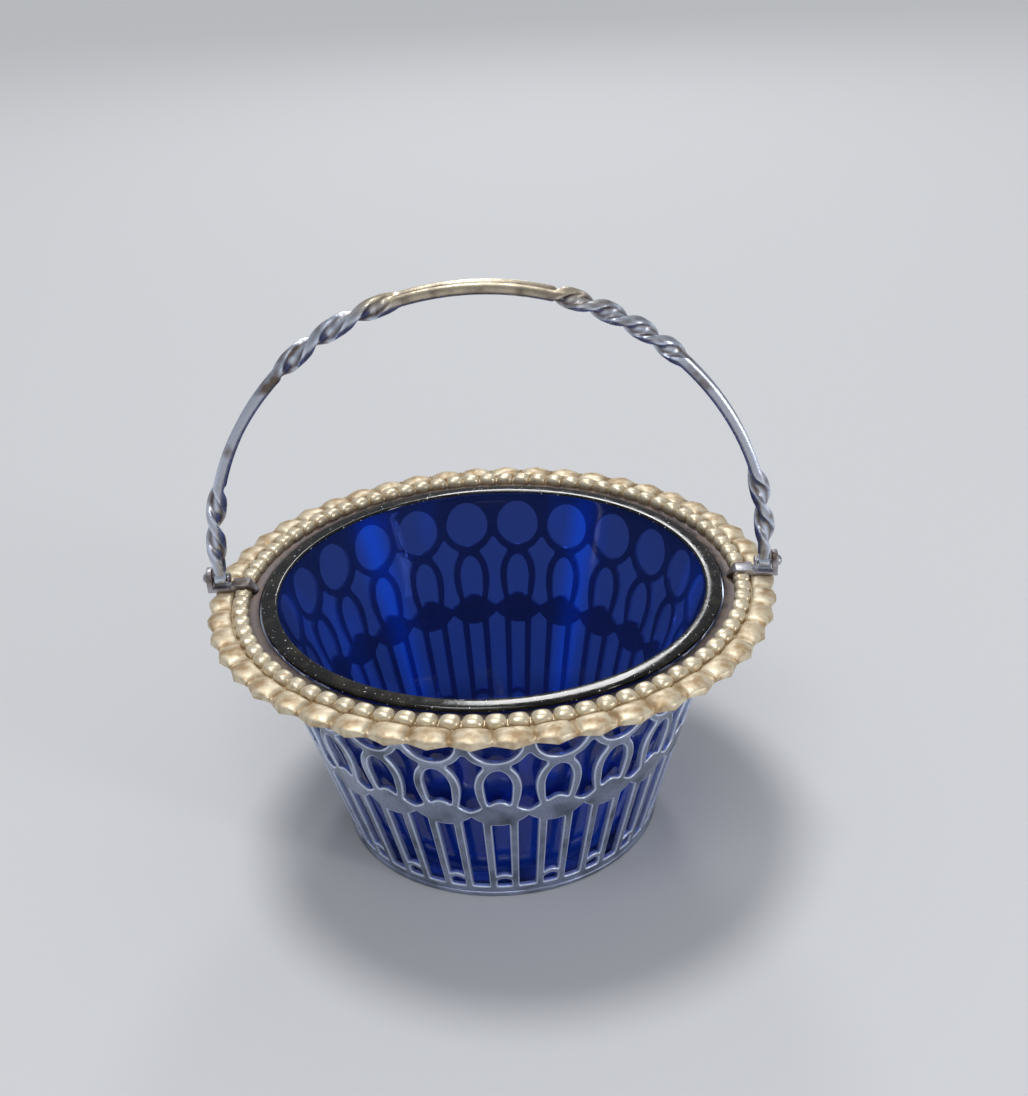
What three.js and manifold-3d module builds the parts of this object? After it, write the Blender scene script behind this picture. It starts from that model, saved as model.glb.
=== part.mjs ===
// Silver sweetmeat basket with a swing handle and a cobalt glass liner.
// Millimetres, +Z up. The origin is the middle of the foot ring, on the table; the hinges lie on X.
import * as THREE from "three";
import { mergeVertices } from "three/addons/utils/BufferGeometryUtils.js";
import Module from "manifold-3d";

const wasm = await Module();
wasm.setup();

// Foot ring and base plate
const FOOT_RING_HEIGHT = 1.0;
const FOOT_RING_WIDTH = 3.3; // from its bore to its outer edge
const FOOT_RING_PROUD = 0.3; // how far it stands out past the wall
const FOOT_RING_ROUNDING = 0.3;
const BASE_THICKNESS = 0.8;
const BASE_CLEARANCE = 0.3; // between the plate's edge and the wall

// Pierced wall, a cone of cast silver
const WALL_FOOT_RADIUS = 29.0; // outside, at table level
const WALL_TOP_RADIUS = 41.5; // outside, under the border
const WALL_THICKNESS = 1.1;
const WALL_TOP = 45.4; // height of the wall, where the border is soldered on
const RING_PITCH = 11.3; // from one round opening to the next, along the top of the wall
const PATTERN_TURN = -2.1; // degrees from the hinge line to the middle of a gap, a bead and a lobe

// Piercing: pairs of bars joined by a low cross arch
const BAR_FOOT = 2.4; // height at which the bars start
const BAR_WIDTH = 1.3;
const PAIR_GAP = 2.55; // between the two bars of a pair, at their foot
const EYE_HEIGHT = 2.2; // of the small opening under the arch
const ARCH_BAND = 1.1;

// Piercing: the belt, narrow between the pairs and swelling to a blank medallion over each
const BELT_HEIGHT = 22.25;
const BELT_NECK = 1.4; // its depth where it is narrowest
const MEDALLION_DROP = 2.3; // how far a medallion hangs below the neck's lower edge
const MEDALLION_FLATNESS = 0.4; // 1 gives its lower edge a cosine's shape, less a flatter one
const MEDALLION_RISE = 2.3; // how far it rises over the neck's upper edge, inside the loop

// Piercing: a horseshoe loop on each medallion, and a round opening over each loop
const LOOP_WIDTH = 4.7; // inside, at its widest
const LOOP_BAND = 1.55;
const LOOP_TUCK = 0.9; // how far each side of the loop draws in at its foot
const LOOP_SHOULDER = 4.3; // from its widest point to the top of its opening
const LOOP_LAP = 0.95; // how far the loop runs into the ring above it
const RING_RADIUS = 4.35;
const RING_BAND = 1.35;
const RING_WEB = 2.5; // solid metal below the level of the rings' centres, between two rings
const TOP_BAND = 1.6; // metal left over the round openings
const FILLET = 0.5; // solder fillet where a loop meets its ring

// Border, from the wall outwards: a plain band, a bead wire and a gadrooned edge
const FLANGE_THICKNESS = 0.8;
const FLANGE_LAP = 0.5; // how far the flange reaches in over the wall
const PLAIN_BAND = 1.75; // width of the plain band inside the beads
const BEADS = 80;
const BEAD_LENGTH = 2.9; // along the radius
const BEAD_HEIGHT = 1.6; // over the flange
const BEAD_STRIP_THICKNESS = 0.4;
const LOBES = 48;
const LOBE_GAP = 0.15; // between the bead strip and the lobes
const LOBE_LENGTH = 4.2; // along the radius, to a lobe's tip
const LOBE_CREST = 1.25; // height of a lobe over the flange
const LOBE_HOLLOW = 0.65; // height of the hollow between two lobes
const SCALLOP = 1.2; // how far the hollows between lobes lie inside the tips

// Glass liner
const LINER_CLEARANCE = 0.3; // to the flange, the wall and the base plate
const LINER_STANDS_OVER = 0.7; // its ground rim over the flange
const LINER_RIM_WIDTH = 2.45; // the flat ground rim, with its two edges
const LINER_RIM_EDGE = 0.45; // rounding of those edges
const LINER_NECK = 0.6; // depth of the step under the rim, below the top of the silver wall
const LINER_WALL = 2.2;
const LINER_FLOOR = 3.2;
const LINER_HEEL_GAP = 2.6; // between the heel and the silver wall
const LINER_HEEL_HEIGHT = 2.0;
const LINER_HEEL_ROUNDING = 1.4;
const LINER_COVE = 1.7; // inside, between the floor and the side

// Hinges
const HINGE_CLEARANCE = 0.3; // round the lug's seat, each side of the knuckle and under it
const LUG_RISE = 0.65; // of the lug's underside over the flange
const LUG_WIDTH = 3.2;
const LUG_SEAT_THICKNESS = 0.8; // under the knuckle
const LUG_STRAP_THICKNESS = 1.4; // of its inner stretch, between the knuckle and the tongue
const LUG_TONGUE = 1.0; // length of its pointed inner end, on the plain band
const LUG_POINT = 0.4; // half the width of that end
const EAR_THICKNESS = 1.0;
const EAR_RISE = 0.4; // of the middle of its round top over the pivot
const PIN_RADIUS = 0.5;
const PIN_CLEARANCE = 0.25;
const RIVET_HEAD_RADIUS = 1.0;
const RIVET_HEAD_HEIGHT = 0.9;
const RIVET_PEEN_HEIGHT = 0.35; // of the flattened end inside the knuckle
const KNUCKLE_RADIUS = 1.2;
const KNUCKLE_LENGTH = 2.1;

// Handle: one reeded strap, twisted in four places
const HANDLE_INSET = 1.8; // from the tips of the lobes to the middle of the strap
const HANDLE_LEG = 3.1; // from the pivot to where the bow starts
const STRAP_WIDTH = 3.2;
const STRAP_THICKNESS = 1.9;
const STRAP_EDGE = 0.4; // rounding of its edges
const REED_WIDTH = 0.9; // raised border along each side of both faces
const REED_DEPTH = 0.35;
const TWIST_STEP = 1.6; // between two sections of the strap where it is twisted
const PLAIN_STEP = 3.6; // and where it is plain
const CREST_ANGLE = 15; // the plain top reaches this far each side of the apex, in degrees
const UPPER_TWIST_END = 44;
const UPPER_HALF_TURNS_LEFT = 3;
const UPPER_HALF_TURNS_RIGHT = 4;
const LOWER_TWIST_START = 72.5;
const LOWER_HALF_TURNS = 2;
const TWIST_SWELL = 0.3; // the strap is this much wider where it is twisted
const FOOT_STRAIGHT = 3.4; // untwisted length over each pivot

const silver = new THREE.MeshStandardMaterial({ color: 0xaab2bd, metalness: 1, roughness: 0.32 });
const warmSilver = new THREE.MeshStandardMaterial({ color: 0xe0cfa4, metalness: 1, roughness: 0.35 });
const brightSilver = new THREE.MeshStandardMaterial({ color: 0xc6cad2, metalness: 1, roughness: 0.22 });
const cobaltGlass = new THREE.MeshStandardMaterial({
  color: 0x0b2bb0,
  metalness: 0,
  roughness: 0.08,
  transparent: true,
  opacity: 0.6,
});

// A closed geometry as a solid that can be joined and cut.
function toSolid(geometry) {
  const bare = geometry.clone();
  bare.deleteAttribute("normal");
  bare.deleteAttribute("uv");
  const merged = mergeVertices(bare);
  return new wasm.Manifold(
    new wasm.Mesh({
      numProp: 3,
      vertProperties: merged.attributes.position.array,
      triVerts: new Uint32Array(merged.index.array),
    }),
  );
}

// A solid as a geometry again.
function toGeometry(solid) {
  const mesh = solid.getMesh();
  const geometry = new THREE.BufferGeometry();
  geometry.setAttribute("position", new THREE.BufferAttribute(mesh.vertProperties, 3));
  geometry.setIndex(new THREE.BufferAttribute(mesh.triVerts, 1));
  geometry.computeVertexNormals();
  return geometry;
}

// Loops of points joined one to the next, with a face over each end unless the last meets the first.
function loft(loops, closed) {
  const count = loops[0].length;
  const positions = loops.flat().flatMap((p) => [p.x, p.y, p.z]);
  const index = [];
  const spans = closed ? loops.length : loops.length - 1;
  for (let i = 0; i < spans; i++) {
    const here = i * count;
    const next = ((i + 1) % loops.length) * count;
    for (let j = 0; j < count; j++) {
      const k = (j + 1) % count;
      index.push(here + j, next + j, next + k, here + j, next + k, here + k);
    }
  }
  if (!closed) {
    const last = (loops.length - 1) * count;
    const flat = (loop) => {
      const side = loop[1].clone().sub(loop[0]).normalize();
      const normal = side.clone().cross(loop[2].clone().sub(loop[0])).normalize();
      const up = normal.clone().cross(side);
      return loop.map((p) => new THREE.Vector2(p.dot(side), p.dot(up)));
    };
    for (const [a, b, c] of THREE.ShapeUtils.triangulateShape(flat(loops[0]), [])) index.push(a, b, c);
    for (const [a, b, c] of THREE.ShapeUtils.triangulateShape(flat(loops[loops.length - 1]), [])) {
      index.push(last + a, last + c, last + b);
    }
  }
  const geometry = new THREE.BufferGeometry();
  geometry.setAttribute("position", new THREE.Float32BufferAttribute(positions, 3));
  geometry.setIndex(index);
  geometry.computeVertexNormals();
  return geometry;
}

// A profile of [radius, height] points turned about Z.
function turned(profile, segments) {
  const points = profile.map(([r, z]) => new THREE.Vector2(r, z));
  return new THREE.LatheGeometry(points, segments).rotateX(Math.PI / 2);
}

const repeats = Math.round((2 * Math.PI * WALL_TOP_RADIUS) / RING_PITCH);
const wallRadius = (z) => THREE.MathUtils.lerp(WALL_FOOT_RADIUS, WALL_TOP_RADIUS, z / WALL_TOP);
// The wall is a polygon in plan, so what stands inside it is fitted to its flats.
const wallFlats = (z) => (wallRadius(z) - WALL_THICKNESS) * Math.cos(Math.PI / (2 * repeats));
const patternTurn = THREE.MathUtils.degToRad(PATTERN_TURN);
const baseTop = FOOT_RING_HEIGHT + BASE_THICKNESS;
const flangeTop = WALL_TOP + FLANGE_THICKNESS;
const flangeInner = WALL_TOP_RADIUS - FLANGE_LAP;
const beadInner = flangeInner + PLAIN_BAND;
const beadOuter = beadInner + BEAD_LENGTH;
const lobeFoot = beadOuter + LOBE_GAP;
const borderRadius = lobeFoot + LOBE_LENGTH;
const handleRadius = borderRadius - HANDLE_INSET;

const lugUnder = flangeTop + LUG_RISE;
const lugSeat = lugUnder + LUG_SEAT_THICKNESS;
const pivotHeight = lugSeat + HINGE_CLEARANCE + KNUCKLE_RADIUS;
const knuckleInner = handleRadius - KNUCKLE_LENGTH / 2;
const ear = handleRadius + KNUCKLE_LENGTH / 2 + HINGE_CLEARANCE; // its face by the knuckle
const lugEnd = ear + EAR_THICKNESS;

function footRing() {
  const outer = wallRadius(FOOT_RING_HEIGHT) + FOOT_RING_PROUD;
  const inner = outer - FOOT_RING_WIDTH;
  const round = FOOT_RING_ROUNDING;
  const profile = [
    [inner, 0],
    [outer - round, 0],
    [outer, round],
    [outer, FOOT_RING_HEIGHT],
    [inner, FOOT_RING_HEIGHT],
    [inner, 0],
  ];
  return turned(profile, 2 * repeats);
}

function basePlate() {
  const radius = wallFlats(FOOT_RING_HEIGHT) - BASE_CLEARANCE;
  const profile = [
    [0, FOOT_RING_HEIGHT],
    [radius, FOOT_RING_HEIGHT],
    [radius, baseTop],
    [0, baseTop],
  ];
  return turned(profile, 2 * repeats);
}

// The metal of half a repeat, from the middle of a medallion to the middle of the gap beside it, as an
// outline of [angle, height] points. Its two sides are shared with the mirrored halves beside it.
function halfRepeatOutline() {
  const side = Math.PI / repeats;
  const footRadius = wallRadius(BAR_FOOT);
  const barInner = PAIR_GAP / 2 / footRadius;
  const barOuter = barInner + BAR_WIDTH / footRadius;
  const neckLower = BELT_HEIGHT - BELT_NECK / 2;
  const neckUpper = BELT_HEIGHT + BELT_NECK / 2;
  const ringHeight = WALL_TOP - TOP_BAND - RING_RADIUS;
  const ringOuter = RING_RADIUS + RING_BAND;
  const at = (x, z) => [x / wallRadius(z), z];

  // The belt's lower edge: a medallion hangs as a rounded lozenge.
  const beltUnder = (angle) => {
    const swell = Math.max(0, (1 + Math.cos((Math.PI * angle) / side)) / 2);
    return neckLower - MEDALLION_DROP * swell ** MEDALLION_FLATNESS;
  };

  const loopTop = ringHeight - ringOuter + LOOP_LAP;
  const loopMiddle = loopTop - LOOP_BAND - LOOP_SHOULDER;
  const loopHalf = LOOP_WIDTH / 2;
  const outerHalf = loopHalf + LOOP_BAND;
  const shoulder = LOOP_SHOULDER + LOOP_BAND;
  const loopOutside = (x) => loopMiddle + shoulder * Math.sqrt(Math.max(0, 1 - (x / outerHalf) ** 2));
  const ringUnder = (x) => ringHeight - Math.sqrt(Math.max(0, ringOuter ** 2 - x ** 2));
  let waist = 0;
  while (loopOutside(waist) > ringUnder(waist) && waist < outerHalf - FILLET) waist += 0.05;
  waist = Math.min(waist + FILLET, outerHalf);

  const outline = [[0, FOOT_RING_HEIGHT], [side, FOOT_RING_HEIGHT]];

  // Half of the tall slot between two pairs of bars
  outline.push([side, BAR_FOOT], [barOuter, BAR_FOOT]);
  outline.push([barOuter, beltUnder(barOuter)], [side, neckLower]);

  // Half of the opening between two loops
  const loopFoot = neckUpper + 0.45 * MEDALLION_RISE;
  outline.push([side, neckUpper], at(outerHalf - LOOP_TUCK, loopFoot));
  for (const degrees of [0, 38]) {
    const turn = THREE.MathUtils.degToRad(degrees);
    const x = outerHalf * Math.cos(turn);
    if (x > waist + 0.1) outline.push(at(x, loopMiddle + shoulder * Math.sin(turn)));
  }
  outline.push(at(waist, loopOutside(waist)), at(waist, ringUnder(waist)));
  const shoulderHeight = ringHeight - (RING_WEB + ringOuter) / 2;
  const shoulderHalf = Math.sqrt(ringOuter ** 2 - (ringHeight - shoulderHeight) ** 2);
  const [ringShoulder] = at(shoulderHalf, shoulderHeight);
  if (shoulderHalf > waist && ringShoulder < side) outline.push([ringShoulder, shoulderHeight]);
  outline.push([side, ringHeight - RING_WEB]);

  outline.push([side, WALL_TOP], [0, WALL_TOP]);

  // Half of the round opening
  for (let degrees = 90; degrees >= -90; degrees -= 36) {
    const turn = THREE.MathUtils.degToRad(degrees);
    const x = Math.abs(degrees) === 90 ? 0 : RING_RADIUS * Math.cos(turn);
    outline.push(at(x, ringHeight + RING_RADIUS * Math.sin(turn)));
  }

  // Half of the opening inside the loop, with the medallion's crown at its foot
  outline.push([0, loopMiddle + LOOP_SHOULDER]);
  for (const degrees of [50, 0]) {
    const turn = THREE.MathUtils.degToRad(degrees);
    outline.push(at(loopHalf * Math.cos(turn), loopMiddle + LOOP_SHOULDER * Math.sin(turn)));
  }
  const crownHalf = loopHalf - LOOP_TUCK / 2;
  outline.push(at(crownHalf, neckUpper + 0.7 * MEDALLION_RISE), [0, neckUpper + MEDALLION_RISE]);

  // Half of the slot between the two bars of a pair
  const eyeTop = BAR_FOOT + EYE_HEIGHT;
  const archTop = eyeTop + ARCH_BAND;
  outline.push([0, beltUnder(0)], [barInner, beltUnder(barInner)]);
  outline.push([barInner, archTop - 0.45 * ARCH_BAND], [0, archTop]);

  // Half of the eye under the arch
  outline.push([0, eyeTop], [barInner, eyeTop - 0.3 * EYE_HEIGHT], [barInner, BAR_FOOT], [0, BAR_FOOT]);
  return { outline, side };
}

// The half repeat bent onto the cone, mirrored and carried round.
function piercedWall() {
  const { outline, side } = halfRepeatOutline();
  const flat = outline.map(([angle, z]) => new THREE.Vector2(angle * WALL_FOOT_RADIUS, z));
  const faces = THREE.ShapeUtils.triangulateShape(flat, []);
  const halves = 2 * repeats;
  const count = outline.length;
  const positions = [];
  const index = [];
  const shared = (a, b) => a[0] === b[0] && (a[0] === 0 || a[0] === side);
  for (let half = 0; half < halves; half++) {
    const mirrored = half % 2 === 1;
    const base = (half * count) * 2;
    for (const [angle, z] of outline) {
      // Points on a shared side come from one whole number, so both halves get the same place.
      let turn = mirrored ? (half + 1) * side - angle : half * side + angle;
      if (angle === 0) turn = ((mirrored ? half + 1 : half) % halves) * side;
      if (angle === side) turn = ((mirrored ? half : half + 1) % halves) * side;
      turn += side + patternTurn;
      for (const radius of [wallRadius(z), wallRadius(z) - WALL_THICKNESS]) {
        positions.push(radius * Math.cos(turn), radius * Math.sin(turn), z);
      }
    }
    const add = (a, b, c) => (mirrored ? index.push(a, c, b) : index.push(a, b, c));
    for (const [a, b, c] of faces) {
      add(base + 2 * a, base + 2 * b, base + 2 * c);
      add(base + 2 * a + 1, base + 2 * c + 1, base + 2 * b + 1);
    }
    for (let i = 0; i < count; i++) {
      const j = (i + 1) % count;
      if (shared(outline[i], outline[j])) continue;
      const [outI, inI, outJ, inJ] = [base + 2 * i, base + 2 * i + 1, base + 2 * j, base + 2 * j + 1];
      add(outI, inI, inJ);
      add(outI, inJ, outJ);
    }
  }
  const geometry = new THREE.BufferGeometry();
  geometry.setAttribute("position", new THREE.Float32BufferAttribute(positions, 3));
  geometry.setIndex(index);
  const merged = mergeVertices(geometry);
  merged.computeVertexNormals();
  return merged;
}

// The room that the lugs and their clearance take from the border's relief.
function cutLugSeats(solid) {
  let rest = solid;
  for (const sign of [-1, 1]) {
    const [from, to] = [beadInner - HINGE_CLEARANCE, borderRadius + HINGE_CLEARANCE];
    const seat = new THREE.BoxGeometry(to - from, LUG_WIDTH + 2 * HINGE_CLEARANCE, pivotHeight);
    seat.translate((sign * (from + to)) / 2, 0, lugUnder + pivotHeight / 2);
    rest = rest.subtract(toSolid(seat));
  }
  return toGeometry(rest);
}

// A gadrooned border: one section of flange and lobe, swelling from hollow to crest and back.
function border() {
  const steps = 4; // sections to a lobe
  const loops = [];
  for (let i = 0; i < LOBES * steps; i++) {
    const swell = Math.abs(Math.cos((Math.PI * i) / steps)) ** 0.8;
    const rise = THREE.MathUtils.lerp(LOBE_HOLLOW, LOBE_CREST, swell);
    const tip = borderRadius - SCALLOP * (1 - swell);
    const middle = (lobeFoot + tip) / 2;
    const section = [[flangeInner, WALL_TOP], [tip - 0.1 * LOBE_LENGTH, WALL_TOP]];
    section.push([tip, WALL_TOP + FLANGE_THICKNESS / 2]);
    for (const degrees of [42, 110]) {
      const turn = THREE.MathUtils.degToRad(degrees);
      const out = middle + ((tip - lobeFoot) / 2) * Math.cos(turn);
      section.push([out, flangeTop + rise * Math.sqrt(Math.sin(turn))]);
    }
    section.push([lobeFoot, flangeTop], [flangeInner, flangeTop]);
    const turn = (2 * Math.PI * i) / (LOBES * steps) + patternTurn;
    loops.push(section.map(([r, z]) => new THREE.Vector3(r * Math.cos(turn), r * Math.sin(turn), z)));
  }
  return cutLugSeats(toSolid(loft(loops, true)));
}

// A strip with a row of beads, one section of it swelling from strip to bead and back.
function beadWire() {
  const steps = 3; // sections to a bead: one between two beads, and one near each side of its crown
  const circle = (beadInner + beadOuter) / 2;
  const loops = [];
  for (let i = 0; i < BEADS * steps; i++) {
    const between = i % steps === 0;
    const half = (BEAD_LENGTH / 2) * (between ? 0.5 : 1);
    const top = flangeTop + (between ? BEAD_STRIP_THICKNESS : BEAD_HEIGHT);
    const shoulder = THREE.MathUtils.lerp(flangeTop, top, 0.7);
    const section = [
      [circle - half, flangeTop],
      [circle + half, flangeTop],
      [circle + 0.75 * half, shoulder],
      [circle, top],
      [circle - 0.75 * half, shoulder],
    ];
    const turn = (2 * Math.PI * (i / steps - 0.5)) / BEADS + patternTurn;
    loops.push(section.map(([r, z]) => new THREE.Vector3(r * Math.cos(turn), r * Math.sin(turn), z)));
  }
  return cutLugSeats(toSolid(loft(loops, true)));
}

// The liner's section: flat foot, rounded heel, straight flaring side and a thick ground rim.
function liner() {
  const foot = baseTop + LINER_CLEARANCE;
  const heelHeight = foot + LINER_HEEL_HEIGHT;
  const heel = wallFlats(heelHeight) - LINER_HEEL_GAP;
  const rim = flangeTop + LINER_STANDS_OVER;
  const rimOuter = flangeInner - LINER_CLEARANCE;
  const rimInner = rimOuter - LINER_RIM_WIDTH;
  const neckHeight = WALL_TOP - LINER_NECK;
  const neck = wallFlats(neckHeight) - LINER_CLEARANCE;
  const floor = foot + LINER_FLOOR;
  const inside = heel - LINER_WALL;
  const round = LINER_HEEL_ROUNDING;
  const profile = [
    [0, foot],
    [heel - round, foot],
    [heel - 0.3 * round, foot + 0.3 * LINER_HEEL_HEIGHT],
    [heel, heelHeight],
    [neck, neckHeight],
    [rimOuter, flangeTop],
    [rimOuter, rim - LINER_RIM_EDGE],
    [rimOuter - LINER_RIM_EDGE, rim],
    [rimInner + LINER_RIM_EDGE, rim],
    [rimInner, rim - LINER_RIM_EDGE],
    [neck - LINER_WALL, neckHeight],
    [inside, floor + LINER_COVE],
    [inside - 0.3 * LINER_COVE, floor + 0.3 * LINER_COVE],
    [inside - LINER_COVE, floor],
    [0, floor],
  ];
  return turned(profile, 40);
}

// A hinge lug, drawn for the right side: a strap let into the border, with an ear outside the knuckle
// and a pointed inner end that is turned down onto the plain band.
function lug() {
  const tip = beadInner - LUG_TONGUE;
  const strapTop = lugUnder + LUG_STRAP_THICKNESS;
  const step = knuckleInner - HINGE_CLEARANCE - RIVET_PEEN_HEIGHT;
  const half = LUG_WIDTH / 2;
  const side = new THREE.Shape();
  side.moveTo(tip, flangeTop);
  side.lineTo(beadInner - LUG_TONGUE / 2, flangeTop);
  side.lineTo(beadInner, lugUnder);
  side.lineTo(lugEnd, lugUnder);
  side.lineTo(lugEnd, lugSeat);
  side.lineTo(step, lugSeat);
  side.lineTo(step, strapTop);
  side.lineTo(beadInner + LUG_TONGUE / 2, strapTop);
  side.lineTo(tip, flangeTop + LUG_SEAT_THICKNESS / 2);
  side.closePath();
  const bar = new THREE.ExtrudeGeometry(side, { depth: LUG_WIDTH, bevelEnabled: false });
  bar.rotateX(Math.PI / 2).translate(0, half, 0);

  const plan = new THREE.Shape();
  plan.moveTo(tip, -LUG_POINT);
  plan.lineTo(beadInner + LUG_TONGUE / 2, -half);
  plan.lineTo(lugEnd, -half);
  plan.lineTo(lugEnd, half);
  plan.lineTo(beadInner + LUG_TONGUE / 2, half);
  plan.lineTo(tip, LUG_POINT);
  plan.closePath();
  const outline = new THREE.ExtrudeGeometry(plan, { depth: 2 * pivotHeight, bevelEnabled: false });

  const footing = lugUnder + LUG_SEAT_THICKNESS / 2 - pivotHeight;
  const upright = new THREE.Shape();
  upright.moveTo(-half, footing);
  upright.lineTo(half, footing);
  upright.absarc(0, EAR_RISE, half, 0, Math.PI, false);
  upright.closePath();
  const hole = new THREE.Path();
  hole.absarc(0, 0, PIN_RADIUS + PIN_CLEARANCE, 0, 2 * Math.PI, true);
  upright.holes.push(hole);
  const plate = new THREE.ExtrudeGeometry(upright, {
    depth: EAR_THICKNESS,
    bevelEnabled: false,
    curveSegments: 8,
  });
  plate.rotateX(Math.PI / 2).rotateZ(Math.PI / 2).translate(ear, 0, pivotHeight);
  return toGeometry(toSolid(bar).intersect(toSolid(outline)).add(toSolid(plate)));
}

// The pivot rivet, drawn for the right side: a domed head outside and a small peened one inside.
function rivet() {
  const from = knuckleInner - HINGE_CLEARANCE;
  const head = RIVET_HEAD_RADIUS;
  const points = [
    [0, from - RIVET_PEEN_HEIGHT],
    [0.8 * head, from - RIVET_PEEN_HEIGHT],
    [0.95 * head, from],
    [PIN_RADIUS, from],
    [PIN_RADIUS, lugEnd],
    [head, lugEnd],
    [0.9 * head, lugEnd + 0.5 * RIVET_HEAD_HEIGHT],
    [0.5 * head, lugEnd + 0.9 * RIVET_HEAD_HEIGHT],
    [0, lugEnd + RIVET_HEAD_HEIGHT],
  ];
  const profile = points.map(([r, x]) => new THREE.Vector2(r, x));
  return new THREE.LatheGeometry(profile, 10).rotateZ(-Math.PI / 2).translate(0, 0, pivotHeight);
}

// How far the strap has turned between the apex and a point this far along it, towards the right.
function twistAt(distance) {
  const arc = (degrees) => handleRadius * THREE.MathUtils.degToRad(degrees);
  const end = arc(90) + HANDLE_LEG - FOOT_STRAIGHT;
  const share = (from, to) => THREE.MathUtils.clamp((Math.abs(distance) - from) / (to - from), 0, 1);
  const halfTurns = distance < 0 ? UPPER_HALF_TURNS_LEFT : UPPER_HALF_TURNS_RIGHT;
  const upper = halfTurns * share(arc(CREST_ANGLE), arc(UPPER_TWIST_END));
  const lower = LOWER_HALF_TURNS * share(arc(LOWER_TWIST_START), end);
  return -Math.sign(distance) * Math.PI * (upper + lower);
}

// Where the strap's sections stand: close together in the twists and apart on the plain stretches.
function strapStations() {
  const foot = (PIN_RADIUS + PIN_CLEARANCE + KNUCKLE_RADIUS) / 2; // inside the knuckle's wall
  const half = handleRadius * (Math.PI / 2) + HANDLE_LEG - foot;
  const stations = [0];
  let distance = 0;
  while (distance < half) {
    const near = Math.abs(twistAt(distance + 0.5) - twistAt(distance)) > 1e-6;
    distance = Math.min(half, distance + (near ? TWIST_STEP : PLAIN_STEP));
    if (half - distance < TWIST_STEP / 2) distance = half;
    stations.push(distance);
  }
  return [...stations.slice(1).reverse().map((s) => -s), ...stations];
}

// The handle in its own frame: pivot line on X through the origin, bow upwards.
function handle() {
  const arcHalf = handleRadius * (Math.PI / 2);
  const loops = strapStations().map((distance) => {
    const along = THREE.MathUtils.clamp(distance, -arcHalf, arcHalf);
    const turn = along / handleRadius;
    const outward = new THREE.Vector3(Math.sin(turn), 0, Math.cos(turn));
    const place = outward.clone().multiplyScalar(handleRadius);
    place.z += HANDLE_LEG - Math.max(0, Math.abs(distance) - arcHalf);
    const forward = new THREE.Vector3(Math.cos(turn), 0, -Math.sin(turn));
    const twist = twistAt(distance);
    const broad = new THREE.Vector3(0, 1, 0).applyAxisAngle(forward, twist);
    const thick = outward.clone().applyAxisAngle(forward, twist);
    const swell = TWIST_SWELL * Math.abs(Math.sin(twist));
    // Over each pivot the strap narrows to the width of its knuckle.
    const rise = arcHalf + HANDLE_LEG - Math.abs(distance);
    const full = (STRAP_WIDTH + swell) / 2;
    const w = THREE.MathUtils.lerp(KNUCKLE_RADIUS, full, Math.min(1, rise / FOOT_STRAIGHT));
    const t = STRAP_THICKNESS / 2;
    const reed = w - REED_WIDTH;
    const section = [
      [w - STRAP_EDGE, -t],
      [w, 0],
      [w - STRAP_EDGE, t],
      [reed, t - REED_DEPTH],
      [-reed, t - REED_DEPTH],
      [-w + STRAP_EDGE, t],
      [-w, 0],
      [-w + STRAP_EDGE, -t],
      [-reed, -t + REED_DEPTH],
      [reed, -t + REED_DEPTH],
    ];
    const corner = ([y, x]) => place.clone().addScaledVector(broad, -y).addScaledVector(thick, x);
    return section.map(corner);
  });
  let solid = toSolid(loft(loops, false));
  const bore = PIN_RADIUS + PIN_CLEARANCE;
  for (const sign of [-1, 1]) {
    const from = sign * handleRadius - KNUCKLE_LENGTH / 2;
    const to = from + KNUCKLE_LENGTH;
    const outer = [[KNUCKLE_RADIUS, from], [KNUCKLE_RADIUS, to]];
    const corners = [[bore, from], ...outer, [bore, to], [bore, from]];
    const points = corners.map(([r, x]) => new THREE.Vector2(r, x));
    solid = solid.add(toSolid(new THREE.LatheGeometry(points, 16).rotateZ(-Math.PI / 2)));
  }
  return toGeometry(solid);
}

function named(name, geometry, material) {
  const mesh = new THREE.Mesh(geometry, material);
  mesh.name = name;
  return mesh;
}

const basket = new THREE.Group();
basket.add(named("foot_ring", footRing(), silver));
basket.add(named("base_plate", basePlate(), silver));
basket.add(named("pierced_wall", piercedWall(), silver));
basket.add(named("gadroon_border", border(), warmSilver));
basket.add(named("bead_wire", beadWire(), warmSilver));
basket.add(named("glass_liner", liner(), cobaltGlass));

for (const [side, turn] of [["right", 0], ["left", Math.PI]]) {
  const hinge = new THREE.Group();
  hinge.rotation.z = turn;
  hinge.add(named(side + "_lug", lug(), brightSilver));
  hinge.add(named(side + "_rivet", rivet(), brightSilver));
  basket.add(hinge);
}

const swing = new THREE.Group();
swing.position.z = pivotHeight;
swing.add(named("handle", handle(), brightSilver));
basket.add(swing);

export default basket;
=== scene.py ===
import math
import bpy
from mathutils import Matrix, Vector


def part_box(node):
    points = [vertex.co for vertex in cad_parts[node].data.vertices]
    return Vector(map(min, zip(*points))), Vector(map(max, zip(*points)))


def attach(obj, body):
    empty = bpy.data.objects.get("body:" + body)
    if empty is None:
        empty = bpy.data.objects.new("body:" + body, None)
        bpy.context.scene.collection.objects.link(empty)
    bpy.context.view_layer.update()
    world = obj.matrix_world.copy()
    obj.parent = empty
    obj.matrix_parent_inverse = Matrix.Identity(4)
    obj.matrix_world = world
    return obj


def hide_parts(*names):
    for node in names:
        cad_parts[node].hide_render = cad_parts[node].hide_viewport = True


bl_info = {
    "name": "Swing-handle Basket",
    "version": (1, 0, 0),
    "blender": (4, 5, 0),
    "location": "3D View > Sidebar > Basket",
    "description": "Builds a pierced silver basket with a cobalt glass liner, and a plain studio for it",
    "category": "Add Mesh",
}

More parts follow.
